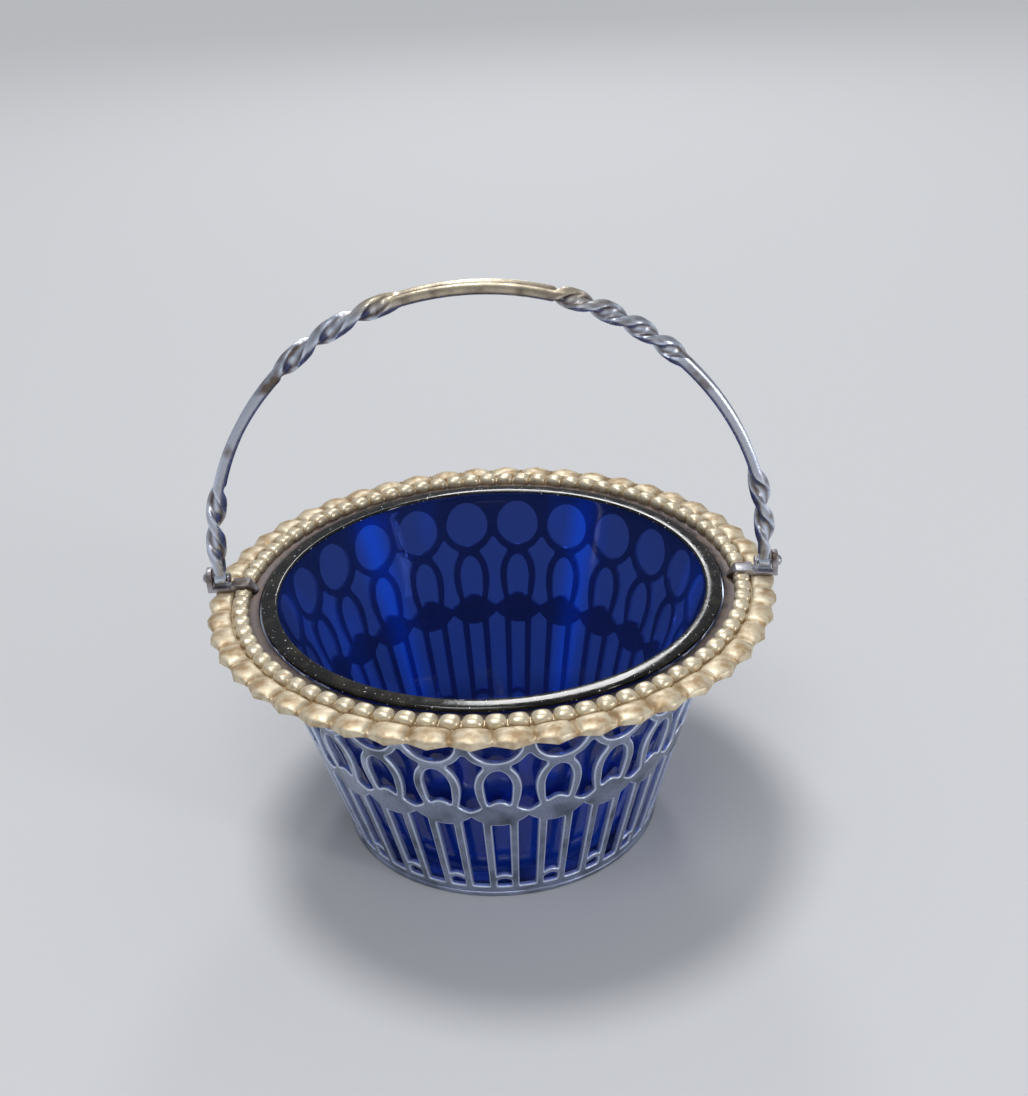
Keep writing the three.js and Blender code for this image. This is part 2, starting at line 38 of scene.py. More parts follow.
import bpy
from bpy.props import FloatProperty, FloatVectorProperty, IntProperty, PointerProperty
from mathutils import Matrix, Vector

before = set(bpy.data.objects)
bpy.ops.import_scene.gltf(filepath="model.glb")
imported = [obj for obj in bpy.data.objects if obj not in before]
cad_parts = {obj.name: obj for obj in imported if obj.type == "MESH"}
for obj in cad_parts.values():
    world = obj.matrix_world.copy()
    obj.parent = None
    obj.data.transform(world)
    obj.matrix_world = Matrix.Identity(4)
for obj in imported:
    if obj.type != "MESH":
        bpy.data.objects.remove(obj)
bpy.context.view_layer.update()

MM = 0.001
# Surfaces closer than this count as one
HAIR = 0.01 * MM
FULL_TURN = 2 * math.pi
WALL_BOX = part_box("pierced_wall")
BORDER_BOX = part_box("gadroon_border")
BEAD_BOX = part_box("bead_wire")
LINER_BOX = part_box("glass_liner")
RING_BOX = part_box("foot_ring")
HANDLE_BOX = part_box("handle")
RIVET_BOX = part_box("right_rivet")
LUG_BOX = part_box("right_lug")
PIVOT = (RIVET_BOX[0].z + RIVET_BOX[1].z) / 2


def length(name, description, size):
    """A length property, given in metres."""
    return FloatProperty(name=name, description=description, default=size, min=0, unit="LENGTH")


def angle(name, description, degrees):
    """An angle property, given in degrees."""
    return FloatProperty(
        name=name, description=description, default=math.radians(degrees), unit="ROTATION"
    )


def colour(name, description, shade):
    """A colour property."""
    return FloatVectorProperty(
        name=name, description=description, default=shade, size=3, min=0, max=1, subtype="COLOR"
    )


class WallSizes(bpy.types.PropertyGroup):
    """The pierced wall, a flaring cone cut through in equal repeats, and the ring under it."""

    repeats: IntProperty(name="Repeats", description="Medallions round the wall", default=23, min=8)
    turn: angle("Turn", "From the hinge line to the middle of a gap, a bead and a lobe", -2.1)
    foot_radius: length("Foot radius", "Outside radius at table level", 29.0 * MM)
    top_radius: length("Top radius", "Outside radius under the border", 41.5 * MM)
    thickness: length("Thickness", "Of the cast silver", 1.1 * MM)
    edge: length("Edge", "Width of the rounding of every cut edge", 0.32 * MM)
    edge_depth: length("Edge depth", "Depth of that rounding", 0.3 * MM)
    corner: length("Corner", "Rounding of the openings' sharp corners", 0.35 * MM)
    bar_foot: length("Bar foot", "Height at which the bars start", 2.4 * MM)
    bar_width: length("Bar width", "At the foot", 1.3 * MM)
    pair_gap: length("Pair gap", "Between the two bars of a pair, at the foot", 2.55 * MM)
    eye_height: length("Eye height", "Of the opening under the low arch", 2.2 * MM)
    arch_band: length("Arch band", "Depth of the low arch", 1.1 * MM)
    belt_height: length("Belt height", "Middle of the belt's neck", 22.25 * MM)
    belt_neck: length("Belt neck", "Depth of the belt where it is narrowest", 1.4 * MM)
    drop: length("Medallion drop", "How far a medallion hangs below the neck", 2.3 * MM)
    rise: length("Medallion rise", "How far it rises over the neck, inside its loop", 2.3 * MM)
    cusp: length("Cusp", "Rise of a medallion's crown over the notch at either end", 0.4 * MM)
    loop_width: length("Loop width", "Inside, at its widest", 4.7 * MM)
    loop_band: length("Loop band", "Width of the loop's band", 1.55 * MM)
    loop_tuck: length("Loop tuck", "How far the loop draws in at its foot", 0.9 * MM)
    loop_shoulder: length("Loop shoulder", "From its widest point to its opening's top", 4.3 * MM)
    loop_lap: length("Loop lap", "How far the loop runs into its ring", 0.95 * MM)
    ring_radius: length("Ring radius", "Of the round openings", 4.35 * MM)
    ring_band: length("Ring band", "Width of the band round them", 1.35 * MM)
    ring_web: length("Ring web", "Solid metal below the rings' centres, between two rings", 2.5 * MM)
    top_band: length("Top band", "Metal left over the round openings", 1.6 * MM)
    closest: length("Closest", "Least height between a loop's side and the ring over it", 0.35 * MM)
    foot_width: length("Foot width", "Of the applied foot ring", 3.2 * MM)
    foot_round: length("Foot rounding", "Of the foot ring's outer edges", 0.35 * MM)


class BorderSizes(bpy.types.PropertyGroup):
    """The gadrooned border and the row of beads on it."""

    lobes: IntProperty(name="Lobes", description="Lobes round the border", default=48, min=12)
    beads: IntProperty(name="Beads", description="Beads round the border", default=80, min=12)
    flange: length("Flange", "Thickness of the flat border", 0.8 * MM)
    lap: length("Lap", "How far the flange reaches in over the wall", 0.5 * MM)
    plain_band: length("Plain band", "Width of the plain band inside the beads", 1.75 * MM)
    bead_length: length("Bead length", "Along the radius", 2.9 * MM)
    strip: length("Strip", "Thickness of the strip that the beads stand on", 0.4 * MM)
    gap: length("Gap", "Between beads and lobes", 0.15 * MM)
    hollow: length("Hollow", "Height over the flange between two lobes", 0.45 * MM)
    scallop: length("Scallop", "How far the hollows lie inside the tips", 0.8 * MM)
    bore_edge: length("Bore edge", "Bevel of the upper edge of the flange's bore", 0.15 * MM)
    lip: length("Lip", "How far the lip turns under at the tips", 0.9 * MM)
    fillet: FloatProperty(
        name="Fillet",
        description="Share of a lobe's width at which the ridge between two lobes starts",
        default=0.88,
        min=0.5,
        max=0.95,
        subtype="FACTOR",
    )


class LinerSizes(bpy.types.PropertyGroup):
    """The blown glass liner."""

    wall: length("Wall", "Thickness of the side", 2.2 * MM)
    floor: length("Floor", "Thickness of the floor", 3.2 * MM)
    heel_radius: length("Heel radius", "Outside radius at the heel", 26.36 * MM)
    heel_round: length("Heel rounding", "Of the outside corner", 1.4 * MM)
    cove: length("Cove", "Inside rounding between floor and side", 2.4 * MM)
    neck_radius: length("Neck radius", "Outside radius under the rim", 39.8 * MM)
    neck_height: length("Neck height", "Of that point over the table", 44.8 * MM)
    rim_width: length("Rim width", "Width of the flat ground rim", 2.9 * MM)
    rim_edge: length("Rim edge", "Rounding of the rim's edges", 0.45 * MM)
    # The streaks are painted reflections of light on the glass, not clearer glass.
    left_painted_glow: angle("Left streak", "Where a streak of clearer glass runs up the side", 132)
    right_painted_glow: angle("Right streak", "Where the other one does", 62)
    painted_glow_width: angle("Streak width", "Half the width of a streak", 5)


class HandleSizes(bpy.types.PropertyGroup):
    """The twisted strap handle."""

    leg: length("Leg", "From the pivot to where the bow starts", 3.1 * MM)
    width: length("Width", "Of the strap", 3.2 * MM)
    thickness: length("Thickness", "Of the strap", 1.9 * MM)
    reed: length("Reed", "Width of the raised border along each side", 0.9 * MM)
    reed_depth: length("Reed depth", "How far the middle lies below the reeds", 0.35 * MM)
    swell: length("Swell", "Extra width where the strap is twisted", 0.3 * MM)
    foot: length("Foot", "Untwisted length over each pivot", 3.4 * MM)
    strap_end: length("Strap end", "Height of the strap's end over the pivot", 0.95 * MM)
    crest: angle("Crest", "Half the angle of the plain top", 15)
    upper_end: angle("Upper twist's end", "From the top of the bow", 44)
    lower_start: angle("Lower twist's start", "From the top of the bow", 72.5)
    turns_left: IntProperty(name="Half turns, left", description="In the left upper twist", default=3)
    turns_right: IntProperty(name="Half turns, right", description="In the right upper twist", default=4)
    turns_low: IntProperty(name="Half turns, low", description="In each lower twist", default=2)
    knuckle: length("Knuckle", "Radius of the eye round each rivet", 1.2 * MM)
    knuckle_length: length("Knuckle length", "Along the rivet", 2.1 * MM)
    knuckle_edge: length("Knuckle edge", "Bevel of its ends", 0.15 * MM)
    bore: length("Bore", "Radius of the hole in it", 0.75 * MM)
    # The warm tone at the top of the handle is painted warm light, on the part that faces up.
    painted_light_start: length("Warm start", "Depth under the top at which its warm tone starts", 5.0 * MM)
    painted_light_full: length("Warm in full", "Depth under the top at which that tone is full", 2.2 * MM)


class HingeSizes(bpy.types.PropertyGroup):
    """The straps over the border, with their ears and rivets."""

    clearance: length("Clearance", "Kept free beside a strap in the border", 0.3 * MM)
    underside: length("Underside", "Height of a strap's underside over the flange", 0.65 * MM)
    thickness: length("Thickness", "Of a strap over the beads", 1.4 * MM)
    seat: length("Seat", "Thickness of a strap beside its ear", 0.8 * MM)
    step: length("Step", "Where a strap drops to its seat, from the middle", 46.5 * MM)
    slope: length("Slope", "From the beads' inner edge to a strap's bends on either side", 0.5 * MM)
    tip: length("Tip", "Thickness of the pointed inner end", 0.4 * MM)
    ear: length("Ear", "Inner face of the ear, from the middle", 49.55 * MM)
    shank: length("Shank", "Radius of a rivet's shank", 0.5 * MM)


class Finishes(bpy.types.PropertyGroup):
    """Colours of the metal and the glass."""

    # Body: this dark, bluish tone is painted shade from the border above and a painted blue reflection,
    # not the silver's own colour.
    body: colour("Body", "Silver of the pierced wall, dulled by age", (0.41, 0.46, 0.61))
    body_dark: colour("Body, tarnished", "Its darker patches", (0.13, 0.155, 0.20))
    # Edge: the paler, bluer silver of the cut edges is a painted highlight.
    edge: colour("Edge", "Cut edges, kept bright by handling", (0.68, 0.76, 0.94))
    # Border: the warm tone is partly the real tone of aged silver and partly a painted warm reflection
    # of the light from above.
    border: colour("Border", "Warm silver of the border and beads", (0.74, 0.65, 0.48))
    # Band: this near-black is painted shade on the plain band between the beads and the glass.
    band: colour("Band", "Blackened silver of the plain band inside the beads", (0.075, 0.062, 0.062))
    # Border, tarnished: also the colour of the painted dark reflection on each lobe's brow.
    border_dark: colour("Border, tarnished", "Its worn and tarnished patches", (0.42, 0.29, 0.16))
    handle: colour("Handle", "Silver of the handle", (0.66, 0.72, 0.85))
    strap: colour("Hinges", "Duller silver of the hinges", (0.56, 0.56, 0.62))
    handle_dark: colour("Handle, tarnished", "Its recesses and darker patches", (0.17, 0.13, 0.11))
    glass: colour("Glass", "Tint that the glass keeps in depth", (0.040, 0.076, 0.34))
    # Glass streaks: the bright blue of the painted reflections up the side and of the painted glow on
    # the floor.
    streak: colour("Glass streaks", "Tint of its thinner streaks", (0.02, 0.12, 1.0))


class StudioSettings(bpy.types.PropertyGroup):
    """Floor, lights and camera."""

    floor: colour("Floor", "Plain pale floor", (0.62, 0.63, 0.65))
    floor_size: length("Floor size", "Of each side", 6.0)
    air: colour("Air", "Colour of the light from all round", (0.80, 0.82, 0.86))
    air_strength: FloatProperty(
        name="Air strength", description="Strength of that light", default=0.40, min=0
    )
    lens: FloatProperty(name="Lens", description="Focal length on a 36 mm sensor", default=44.54, min=1)
    distance: length("Distance", "From the camera to the point it looks at", 238.8 * MM)
    elevation: angle("Elevation", "Of the camera over the horizon", 27.15)
    azimuth: angle("Azimuth", "Of the camera", 1.9)
    roll: angle("Roll", "Of the camera", -2.72)
    aim: FloatVectorProperty(
        name="Aim",
        description="The point that the camera looks at, before it turns to its azimuth",
        default=(4.31 * MM, 0, 53.13 * MM),
        size=3,
        subtype="TRANSLATION",
    )


def deselect():
    """Leaves edit mode with nothing selected."""
    if bpy.context.object and bpy.context.object.mode != "OBJECT":
        bpy.ops.object.mode_set(mode="OBJECT")
    bpy.ops.object.select_all(action="DESELECT")


def start(add, **options):
    """Adds a primitive with nothing else selected and returns it."""
    deselect()
    add(**options)
    return bpy.context.active_object


def pick(piece):
    """Selects a piece alone and makes it the active one."""
    deselect()
    piece.select_set(True)
    bpy.context.view_layer.objects.active = piece


def edit(piece):
    """Opens a piece in edit mode with all of it selected."""
    pick(piece)
    bpy.ops.object.mode_set(mode="EDIT")
    bpy.ops.mesh.select_all(action="SELECT")


def weld(piece, close=False):
    """Merges the doubles of a piece, fills its open ends if asked, and turns its faces outwards."""
    edit(piece)
    bpy.ops.mesh.remove_doubles(threshold=0.4 * HAIR)
    if close:
        bpy.ops.mesh.fill_holes(sides=0)
        bpy.ops.mesh.select_all(action="SELECT")
    bpy.ops.mesh.normals_make_consistent(inside=False)
    deselect()


def join(pieces):
    """Joins pieces into the first one."""
    deselect()
    for piece in pieces:
        piece.select_set(True)
    bpy.context.view_layer.objects.active = pieces[0]
    bpy.ops.object.join()
    return pieces[0]


def apply_modifier(piece, kind, **settings):
    """Adds a modifier to a piece and applies it."""
    pick(piece)
    modifier = piece.modifiers.new(kind.title(), kind)
    for key, value in settings.items():
        setattr(modifier, key, value)
    bpy.ops.object.modifier_apply(modifier=modifier.name)


def smooth(piece, degrees=35):
    """Shades a piece smooth, apart from edges sharper than the given angle."""
    pick(piece)
    bpy.ops.object.shade_smooth_by_angle(angle=math.radians(degrees))


def round_about(piece, copies):
    """Carries the whole of a piece round Z, so that it stands there so many times."""
    edit(piece)
    step = FULL_TURN / copies
    bpy.ops.mesh.spin(
        steps=copies - 1,
        dupli=True,
        angle=step * (copies - 1),
        center=(0, 0, 0),
        axis=(0, 0, 1),
    )
    deselect()


def laid_out(rows, columns, place):
    """A grid whose vertices go where place(row, column) says, both counted from 0."""
    sheet = start(
        bpy.ops.mesh.primitive_grid_add, x_subdivisions=columns, y_subdivisions=rows, size=1
    )
    for number, vertex in enumerate(sheet.data.vertices):
        vertex.co = place(number // (columns + 1), number % (columns + 1))
    return sheet


def turned(profile, segments):
    """A profile of (radius, height) points spun once round Z."""
    line = start(bpy.ops.mesh.primitive_circle_add, vertices=len(profile), radius=1)
    for vertex, (radius, height) in zip(line.data.vertices, profile):
        vertex.co = (radius, 0, height)
    edit(line)
    bpy.ops.mesh.spin(steps=segments, angle=FULL_TURN, center=(0, 0, 0), axis=(0, 0, 1))
    weld(line)
    return line


def lay_on_pivot(piece):
    """Lays a piece that was spun round Z along the hinge line, its top towards +X."""
    for vertex in piece.data.vertices:
        x, y, z = vertex.co
        vertex.co = (z, y, PIVOT - x)
    weld(piece)
    return piece


def ring_of(points):
    """A closed ring of edges through (x, y) points."""
    ring = start(bpy.ops.mesh.primitive_circle_add, vertices=len(points), radius=1)
    for vertex, (x, y) in zip(ring.data.vertices, points):
        vertex.co = (x, y, 0)
    return ring


def slab(outline, depth):
    """A flat outline of (x, y) points, filled and extruded along Z."""
    plate = ring_of(outline)
    edit(plate)
    bpy.ops.mesh.edge_face_add()
    bpy.ops.mesh.extrude_region_move(TRANSFORM_OT_translate={"value": (0, 0, depth)})
    deselect()
    return plate


def filled(rings):
    """A flat sheet bounded by the first ring, with the others as openings."""
    sheet = join([ring_of(ring) for ring in rings])
    edit(sheet)
    bpy.ops.mesh.fill(use_beauty=True)
    bpy.ops.mesh.normals_make_consistent(inside=False)
    deselect()
    return sheet


def softened(ring, reach, steps=3):
    """A ring of (x, y) points with each sharp corner cut back by reach and rounded."""
    nearly_straight = math.radians(148)
    corners = [Vector(point) for point in ring]
    soft = []
    for i, corner in enumerate(corners):
        before = corners[i - 1] - corner
        after = corners[(i + 1) % len(corners)] - corner
        if before.angle(after) > nearly_straight:
            soft.append(corner)
            continue
        first = corner + before.normalized() * min(reach, 0.45 * before.length)
        last = corner + after.normalized() * min(reach, 0.45 * after.length)
        for s in range(steps + 1):
            t = s / steps
            soft.append(first * (1 - t) ** 2 + corner * (2 * t * (1 - t)) + last * t**2)
    return [tuple(point) for point in soft]


def widened(ring, reach):
    """A ring of (x, y) points moved outwards, square to itself, by reach."""
    points = [Vector(point) for point in ring]
    area = sum(a.cross(b) for a, b in zip(points, points[1:] + points[:1]))
    wide = []
    for i, point in enumerate(points):
        before = (point - points[i - 1]).normalized()
        after = (points[(i + 1) % len(points)] - point).normalized()
        along = (before + after).normalized()
        outwards = Vector((along.y, -along.x)) * math.copysign(1, area)
        wide.append(point + outwards * reach / max(0.8, along.dot(after)))
    return wide


def arc(rx, ry, start_degrees, end_degrees, steps):
    """Points of an ellipse's arc about the origin."""
    turns = [start_degrees + (end_degrees - start_degrees) * i / steps for i in range(steps + 1)]
    return [(rx * math.cos(math.radians(t)), ry * math.sin(math.radians(t))) for t in turns]


def polar(radius, turn, height):
    """The point at a radius, an angle round Z and a height."""
    return Vector((radius * math.cos(turn), radius * math.sin(turn), height))


def mark(piece, name, value_at):
    """Gives every vertex of a piece a value, worked out from its number and place."""
    marks = piece.data.attributes.new(name, "FLOAT", "POINT")
    for number, vertex in enumerate(piece.data.vertices):
        marks.data[number].value = value_at(number, vertex.co)


def dress(piece, name, node, body, materials):
    """Names a finished piece, gives it its materials and puts it in the place of a CAD node."""
    piece.name = name
    piece.data.name = name
    kept = [polygon.material_index for polygon in piece.data.polygons]
    piece.data.materials.clear()
    for material in materials:
        piece.data.materials.append(material)
    piece.data.polygons.foreach_set("material_index", kept)
    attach(piece, body)
    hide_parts(node)


class Recipe:
    """A node material, wired up step by step."""

    def __init__(self, name):
        self.material = bpy.data.materials.new(name)
        self.material.use_nodes = True
        self.tree = self.material.node_tree
        self.shader = self.tree.nodes["Principled BSDF"]
        self.place = self.node("ShaderNodeTexCoord").outputs["Object"]

    def node(self, kind, links=None, **settings):
        """A node with its settings, and its inputs linked or set."""
        made = self.tree.nodes.new(kind)
        for key, value in settings.items():
            setattr(made, key, value)
        for key, value in (links or {}).items():
            if isinstance(value, bpy.types.NodeSocket):
                self.tree.links.new(value, made.inputs[key])
            else:
                made.inputs[key].default_value = value
        return made

    def noise(self, scale, detail, stretch=(1, 1, 1)):
        """Smooth noise over the piece; scale counts its features in a metre."""
        mapped = self.node("ShaderNodeMapping", {"Vector": self.place, "Scale": stretch})
        links = {"Vector": mapped.outputs["Vector"], "Scale": scale, "Detail": detail}
        return self.node("ShaderNodeTexNoise", links).outputs["Fac"]

    def ranged(self, value, low, high, to_low=0.0, to_high=1.0):
        """A value clamped between low and high, and spread over a new range."""
        ends = {"From Min": low, "From Max": high, "To Min": to_low, "To Max": to_high}
        return self.node("ShaderNodeMapRange", {"Value": value, **ends}).outputs["Result"]

    def mixed(self, factor, first, second):
        """Two colours blended by a factor."""
        mix = self.node("ShaderNodeMix", data_type="RGBA")
        self.tree.links.new(factor, mix.inputs[0])
        for index, value in ((6, first), (7, second)):
            if isinstance(value, bpy.types.NodeSocket):
                self.tree.links.new(value, mix.inputs[index])
            else:
                mix.inputs[index].default_value = (*value, 1)
        return mix.outputs[2]

    def sum(self, first, second, how="ADD", **settings):
        """Two values put together."""
        made = self.node("ShaderNodeMath", {0: first, 1: second}, operation=how, **settings)
        return made.outputs[0]

    def carried(self, attribute):
        """A value that the mesh carries at its vertices."""
        return self.node("ShaderNodeAttribute", attribute_name=attribute).outputs["Fac"]

    def to(self, socket, value):
        """Links or sets an input of the shader."""
        if isinstance(value, bpy.types.NodeSocket):
            self.tree.links.new(value, self.shader.inputs[socket])
        else:
            self.shader.inputs[socket].default_value = value

    def bump(self, height, distance, strength=1.0):
        """Bump from a height, in metres."""
        links = {"Height": height, "Distance": distance, "Strength": strength}
        self.to("Normal", self.node("ShaderNodeBump", links).outputs["Normal"])


def silver(
    name,
    bright,
    dark,
    roughness,
    tarnish_and_shade=None,
    blotch=160,
    blotches=(0.42, 0.68),
    metallic=1.0,
    crest=None,
):
    """Old polished silver: cloudy patches, fine scratches and tiny dents.

    blotch is the number of patches in a metre and blotches the range of noise they take up. They
    are darker where the mesh carries the named attribute, which holds both real patina and painted
    shade. crest is a painted warm light on the top: another shade, with the height at which it
    starts and the height at which it is full.
    """
    recipe = Recipe(name)
    if crest:
        shade, low, high = crest
        height = recipe.node("ShaderNodeSeparateXYZ", {0: recipe.place}).outputs["Z"]
        bright = recipe.mixed(recipe.ranged(height, low, high), bright, shade)
    cloud = recipe.ranged(recipe.noise(blotch, 4.0), *blotches)
    if tarnish_and_shade:
        cloud = recipe.sum(cloud, recipe.carried(tarnish_and_shade), use_clamp=True)
    recipe.to("Base Color", recipe.mixed(cloud, bright, dark))
    recipe.to("Metallic", metallic)
    fine = recipe.noise(2600, 2.0)
    recipe.to("Roughness", recipe.ranged(recipe.sum(cloud, fine), 0.2, 1.5, *roughness))
    scratches = recipe.noise(900, 2.0, (1, 1, 0.12))
    dents = recipe.noise(420, 2.0)
    height = recipe.sum(recipe.sum(scratches, dents), fine)
    recipe.bump(height, 0.035 * MM, 0.6)
    return recipe.material


def cobalt(shade, streak):
    """Deep blue glass that darkens with its thickness: brighter upright cords at random, and painted
    light where the mesh carries clear.
    """
    recipe = Recipe("cobalt_glass")
    cords = recipe.ranged(recipe.noise(60, 2.0, (1, 1, 0.2)), 0.55, 0.8)
    # Random cords, and the painted streaks and floor glow that the mesh carries.
    clear = recipe.sum(cords, recipe.carried("clear"), "MAXIMUM")
    recipe.to("Base Color", recipe.mixed(clear, shade, streak))
    recipe.to("Transmission Weight", 0.7)
    recipe.to("IOR", 1.45)
    recipe.to("Roughness", recipe.ranged(recipe.noise(700, 3.0), 0.45, 0.8, 0.0, 0.08))
    recipe.bump(recipe.noise(120, 2.0), 0.03 * MM, 0.35)
    grey = (0.3, 0.3, 0.3, 1.0)
    depth = recipe.node("ShaderNodeVolumeAbsorption", {"Color": grey, "Density": 90.0})
    output = recipe.tree.nodes["Material Output"]
    recipe.tree.links.new(depth.outputs["Volume"], output.inputs["Volume"])
    return recipe.material


def ground_rim():
    """The ground top edge of the glass: nearly black, with tiny pale specks, partly chips and partly
    painted glints.
    """
    recipe = Recipe("ground_glass_rim")
    chips_and_glints = recipe.ranged(recipe.noise(1900, 2.0), 0.69, 0.72)
    smears = recipe.ranged(recipe.noise(300, 3.0, (1, 1, 4)), 0.5, 0.75)
    ground = recipe.mixed(smears, (0.005, 0.005, 0.005), (0.035, 0.03, 0.02))
    recipe.to("Base Color", recipe.mixed(chips_and_glints, ground, (0.7, 0.72, 0.8)))
    recipe.to("Specular IOR Level", 0.35)
    recipe.to("Roughness", recipe.ranged(recipe.noise(500, 3.0), 0.35, 0.7, 0.04, 0.16))
    recipe.bump(recipe.noise(1100, 2.0), 0.006 * MM, 0.6)
    return recipe.material


def wall_radius(wall, height):
    """Outside radius of the wall at a height."""
    share = height / WALL_BOX[1].z
    return wall.foot_radius + (wall.top_radius - wall.foot_radius) * share


def openings(wall):
    """The openings of one repeat as rings of (angle, height), the medallion standing at angle 0."""
    side = math.pi / wall.repeats
    foot = wall_radius(wall, wall.bar_foot)
    bar_inner = wall.pair_gap / 2 / foot
    bar_outer = bar_inner + wall.bar_width / foot
    neck_lower = wall.belt_height - wall.belt_neck / 2
    neck_upper = wall.belt_height + wall.belt_neck / 2
    ring_height = WALL_BOX[1].z - wall.top_band - wall.ring_radius
    ring_outer = wall.ring_radius + wall.ring_band

    def at(x, height):
        """A point beside the middle line, as an angle and a height."""
        return (x / wall_radius(wall, height), height)

    def spread(low, high, count):
        """Evenly spaced values from low to high, both included."""
        return [low + (high - low) * i / count for i in range(count + 1)]

    def both(half, about):
        """A half outline and its mirror image about an angle."""
        other = [(2 * about - a, z) for a, z in reversed(half) if abs(a - about) > 1e-6]
        return half + other

    def belt_under(angle):
        """The belt's lower edge, which hangs in a swell under each medallion."""
        swell = max(0, (1 + math.cos(math.pi * angle / side)) / 2)
        return neck_lower - wall.drop * swell**0.4

    # Between the two bars of a pair: the tall slot, and the eye below the arch
    eye_top = wall.bar_foot + wall.eye_height
    eye_fall = 0.3 * wall.eye_height
    arch_top = eye_top + wall.arch_band
    arch_fall = 0.45 * wall.arch_band
    slot = [(a, arch_top - arch_fall * (a / bar_inner) ** 2) for a in spread(0, bar_inner, 6)]
    slot += [(a, belt_under(a)) for a in spread(bar_inner, 0, 4)]
    eye = [(0, wall.bar_foot), (bar_inner, wall.bar_foot)]
    eye += [(a, eye_top - eye_fall * (a / bar_inner) ** 2) for a in spread(bar_inner, 0, 6)]

    # Between two pairs
    gap = [(side, wall.bar_foot), (bar_outer, wall.bar_foot)]
    gap += [(a, belt_under(a)) for a in spread(bar_outer, side, 5)]

    # Inside a loop, over the medallion's crown
    half = wall.loop_width / 2
    outer = half + wall.loop_band
    loop_top = ring_height - ring_outer + wall.loop_lap
    middle = loop_top - wall.loop_band - wall.loop_shoulder
    crown = half - wall.loop_tuck / 2
    crown_foot = neck_upper + 0.7 * wall.rise
    inside = []
    for x in spread(0, crown, 9):
        arch = 0.2 * wall.rise * (1 - (x / crown) ** 2)
        notch = wall.cusp * abs(math.cos(0.65 * math.pi * x / crown))
        inside.append(at(x, crown_foot + arch + notch))
    for t in spread(0.2, 1, 4):
        x = crown + (half - crown) * t**0.6
        inside.append(at(x, crown_foot + (middle - crown_foot) * t))
    inside += [at(x, middle + z) for x, z in arc(half, wall.loop_shoulder, 9, 90, 9)]

    # Between two loops, under the web of two rings: up the loop, then down along the ring
    loop_foot = neck_upper + 0.45 * wall.rise
    shoulder = wall.loop_shoulder + wall.loop_band
    between = [(side, neck_upper)]
    foot_angle = at(outer - wall.loop_tuck, loop_foot)[0]
    for t in (0.3, 0.65, 1):
        height = neck_upper + (loop_foot - neck_upper) * t**1.5
        between.append((side + (foot_angle - side) * t, height))
    for t in spread(0.2, 1, 4):
        x = outer - wall.loop_tuck * (1 - t) ** 1.6
        between.append(at(x, loop_foot + (middle - loop_foot) * t))
    for x, z in arc(outer, shoulder, 9, 90, 9):
        under = ring_height - math.sqrt(max(0, ring_outer**2 - x**2))
        if middle + z > under - wall.closest:
            break
        between.append(at(x, middle + z))
    nearly_side = side - 0.002
    for x, z in arc(ring_outer, ring_outer, -90, 0, 18):
        point = at(x, ring_height + z)
        loop_edge = shoulder * math.sqrt(max(0, 1 - (x / outer) ** 2))
        clear = x > outer or middle + loop_edge < point[1] - wall.closest
        if clear and z < -wall.ring_web and point[0] < nearly_side:
            between.append(point)
    between.append((side, ring_height - wall.ring_web - 0.1 * MM))

    # Inside a ring, closed like the loop's opening exactly on the middle line
    round_half = arc(wall.ring_radius, wall.ring_radius, -90, 90, 18)
    ring = [at(x, ring_height + z) for x, z in round_half]
    ring[0] = (0, ring[0][1])
    ring[-1] = (0, ring[-1][1])
    inside[-1] = (0, inside[-1][1])
    about_middle = [both(half_ring, 0) for half_ring in (slot, eye, inside, ring)]
    return about_middle, [both(half_ring, side) for half_ring in (gap, between)]


